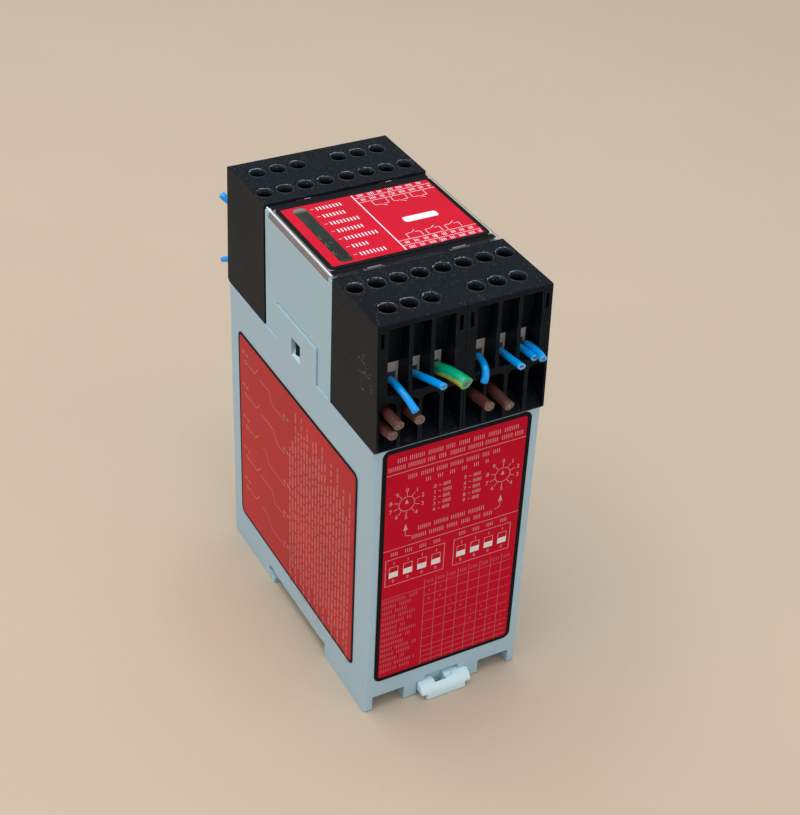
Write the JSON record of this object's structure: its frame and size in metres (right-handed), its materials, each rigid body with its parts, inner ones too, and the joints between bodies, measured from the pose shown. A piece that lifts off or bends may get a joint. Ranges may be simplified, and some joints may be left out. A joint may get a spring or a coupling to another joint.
{
  "type": "safety relay",
  "caption": "Rail-mounted safety relay: grey housing with pull-off terminal blocks, cut wire stubs, clear top cover over switches, and a sprung rail latch.",
  "frame": {"origin": "middle of the flat seat that lies on the rail", "axes": "+X across the module, +Y away from the rail latch, +Z away from the rail"},
  "size_m": [0.0455, 0.0968, 0.117],
  "materials": {
    "housing_grey": "moulded, light texture",
    "block_black": "moulded, fine texture",
    "cover_clear": "clear moulded polycarbonate",
    "label_red": "printed film",
    "window_smoke": "smoked film",
    "latch_pale": "moulded",
    "spring_steel": "drawn wire",
    "plated_steel": "zinc plated",
    "contact_brass": "tin plated",
    "board_green": "solder-masked laminate",
    "relay_body": "moulded",
    "transformer_iron": "varnished laminations",
    "capacitor_sleeve": "shrink sleeve",
    "led_lens": "tinted lens",
    "switch_red": "moulded",
    "switch_white": "moulded",
    "rotary_body_grey": "moulded",
    "rotor_white": "moulded",
    "insulation_blue": "extruded",
    "insulation_brown": "extruded",
    "insulation_green": "extruded",
    "copper_core": "bare strands"
  },
  "bodies": {
    "housing": {"base_housing": "housing_grey", "top_housing": "housing_grey", "front_label": "label_red", "side_label": "label_red", "power_board": "board_green", "relay_board": "board_green", "terminal_boards": "board_green", "switch_board": "board_green", "header_pins": "contact_brass", "transformer": "transformer_iron", "capacitors": "capacitor_sleeve", "status_leds": "led_lens", "latch_spring": "spring_steel", "dip_switch_left": "switch_red", "dip_switch_right": "switch_red", "rotary_switch_left": "rotary_body_grey", "rotary_switch_right": "rotary_body_grey", "force_guided_relay_1": "relay_body", "force_guided_relay_2": "relay_body", "force_guided_relay_3": "relay_body", "force_guided_relay_4": "relay_body"},
    "latch": {"rail_latch": "latch_pale"},
    "cover": {"clear_cover": "cover_clear", "cover_label": "label_red", "led_window": "window_smoke"},
    "near_left_terminals": {"near_left_block": "block_black", "near_left_blue_wires": "insulation_blue", "near_left_brown_wires": "insulation_brown", "near_left_clamps": "plated_steel", "near_left_contacts": "contact_brass", "near_left_earth_wire": "insulation_green", "near_left_screws": "plated_steel", "near_left_wire_cores": "copper_core"},
    "near_right_terminals": {"near_right_block": "block_black", "near_right_blue_wires": "insulation_blue", "near_right_brown_wires": "insulation_brown", "near_right_clamps": "plated_steel", "near_right_contacts": "contact_brass", "near_right_screws": "plated_steel", "near_right_wire_cores": "copper_core"},
    "far_left_terminals": {"far_left_block": "block_black", "far_left_blue_wires": "insulation_blue", "far_left_clamps": "plated_steel", "far_left_contacts": "contact_brass", "far_left_screws": "plated_steel", "far_left_wire_cores": "copper_core"},
    "far_right_terminals": {"far_right_block": "block_black", "far_right_clamps": "plated_steel", "far_right_contacts": "contact_brass", "far_right_screws": "plated_steel"},
    "dial_left": {"rotary_dial_left": "rotor_white"},
    "slider_left_1": {"dip_slider_left_1": "switch_white"},
    "slider_left_2": {"dip_slider_left_2": "switch_white"},
    "slider_left_3": {"dip_slider_left_3": "switch_white"},
    "slider_left_4": {"dip_slider_left_4": "switch_white"},
    "dial_right": {"rotary_dial_right": "rotor_white"},
    "slider_right_1": {"dip_slider_right_1": "switch_white"},
    "slider_right_2": {"dip_slider_right_2": "switch_white"},
    "slider_right_3": {"dip_slider_right_3": "switch_white"},
    "slider_right_4": {"dip_slider_right_4": "switch_white"}
  },
  "joints": [
    {"name": "latch_slide", "type": "slide", "parent": "housing", "child": "latch", "axis": [0, -1, 0], "range_m": [0, 0.0035], "stiffness_N_per_m": 600, "springref_m": -0.002, "deforming": ["latch_spring"]},
    {"name": "cover_lift_off", "type": "slide", "parent": "housing", "child": "cover", "axis": [0, 0, 1], "range_m": [0, 0.025]},
    {"name": "near_left_pull_off", "type": "slide", "parent": "housing", "child": "near_left_terminals", "axis": [0, 0, 1], "range_m": [0, 0.02]},
    {"name": "near_right_pull_off", "type": "slide", "parent": "housing", "child": "near_right_terminals", "axis": [0, 0, 1], "range_m": [0, 0.02]},
    {"name": "far_left_pull_off", "type": "slide", "parent": "housing", "child": "far_left_terminals", "axis": [0, 0, 1], "range_m": [0, 0.02]},
    {"name": "far_right_pull_off", "type": "slide", "parent": "housing", "child": "far_right_terminals", "axis": [0, 0, 1], "range_m": [0, 0.02]},
    {"name": "dial_left_turn", "type": "hinge", "parent": "housing", "child": "dial_left", "pos_m": [-0.005, 0.008, 0.103], "axis": [0, 0, 1], "continuous": true},
    {"name": "slider_left_1_slide", "type": "slide", "parent": "housing", "child": "slider_left_1", "axis": [0, 1, 0], "range_m": [0, 0.002]},
    {"name": "slider_left_2_slide", "type": "slide", "parent": "housing", "child": "slider_left_2", "axis": [0, 1, 0], "range_m": [0, 0.002]},
    {"name": "slider_left_3_slide", "type": "slide", "parent": "housing", "child": "slider_left_3", "axis": [0, 1, 0], "range_m": [0, 0.002]},
    {"name": "slider_left_4_slide", "type": "slide", "parent": "housing", "child": "slider_left_4", "axis": [0, 1, 0], "range_m": [0, 0.002]},
    {"name": "dial_right_turn", "type": "hinge", "parent": "housing", "child": "dial_right", "pos_m": [0.0115, 0.008, 0.103], "axis": [0, 0, 1], "continuous": true},
    {"name": "slider_right_1_slide", "type": "slide", "parent": "housing", "child": "slider_right_1", "axis": [0, 1, 0], "range_m": [0, 0.002]},
    {"name": "slider_right_2_slide", "type": "slide", "parent": "housing", "child": "slider_right_2", "axis": [0, 1, 0], "range_m": [0, 0.002]},
    {"name": "slider_right_3_slide", "type": "slide", "parent": "housing", "child": "slider_right_3", "axis": [0, 1, 0], "range_m": [0, 0.002]},
    {"name": "slider_right_4_slide", "type": "slide", "parent": "housing", "child": "slider_right_4", "axis": [0, 1, 0], "range_m": [0, 0.002]}
  ]
}
